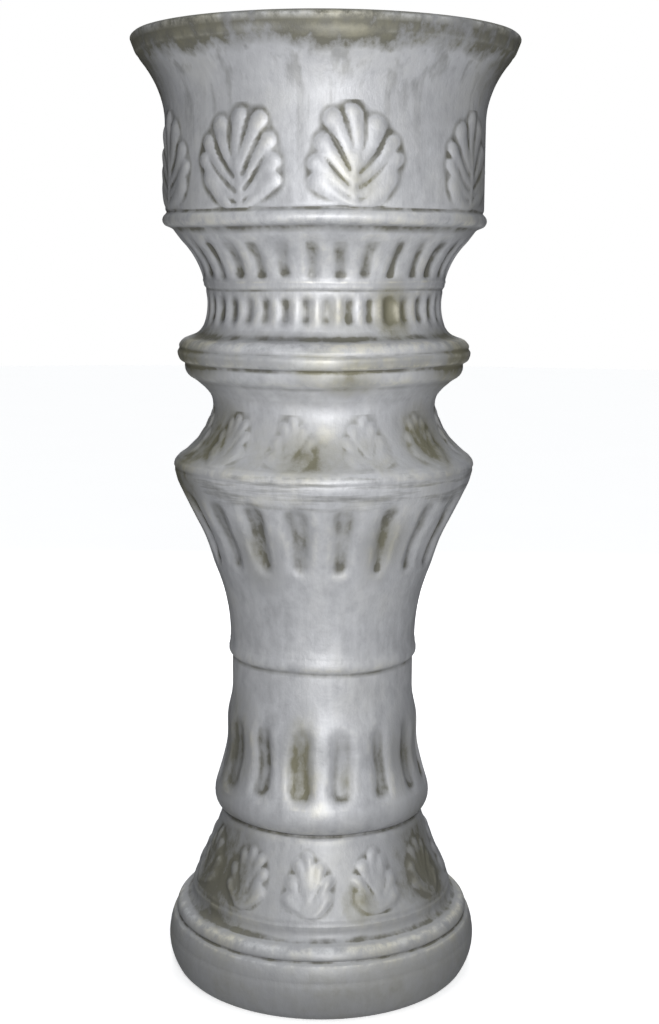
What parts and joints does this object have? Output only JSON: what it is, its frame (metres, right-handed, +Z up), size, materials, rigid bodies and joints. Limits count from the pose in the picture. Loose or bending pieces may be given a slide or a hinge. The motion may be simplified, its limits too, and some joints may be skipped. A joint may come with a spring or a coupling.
{
  "type": "decorative column",
  "caption": "Tall round column, hollow and open at its flared lip, with a leaf-carved drum, ribbed and fluted mouldings, a slim waist and a stepped foot.",
  "frame": {"origin": "centre of the underside of the foot, on the floor", "axes": "+Z up along the column's axis; the side seen in the picture faces -Y; +X to its right"},
  "size_m": [0.3612, 0.3612, 0.9],
  "materials": {
    "grey_paint": "satin grey paint with a faint pearl and rubbed olive in the hollows"
  },
  "bodies": {
    "root": {"column": "grey_paint"}
  },
  "joints": []
}
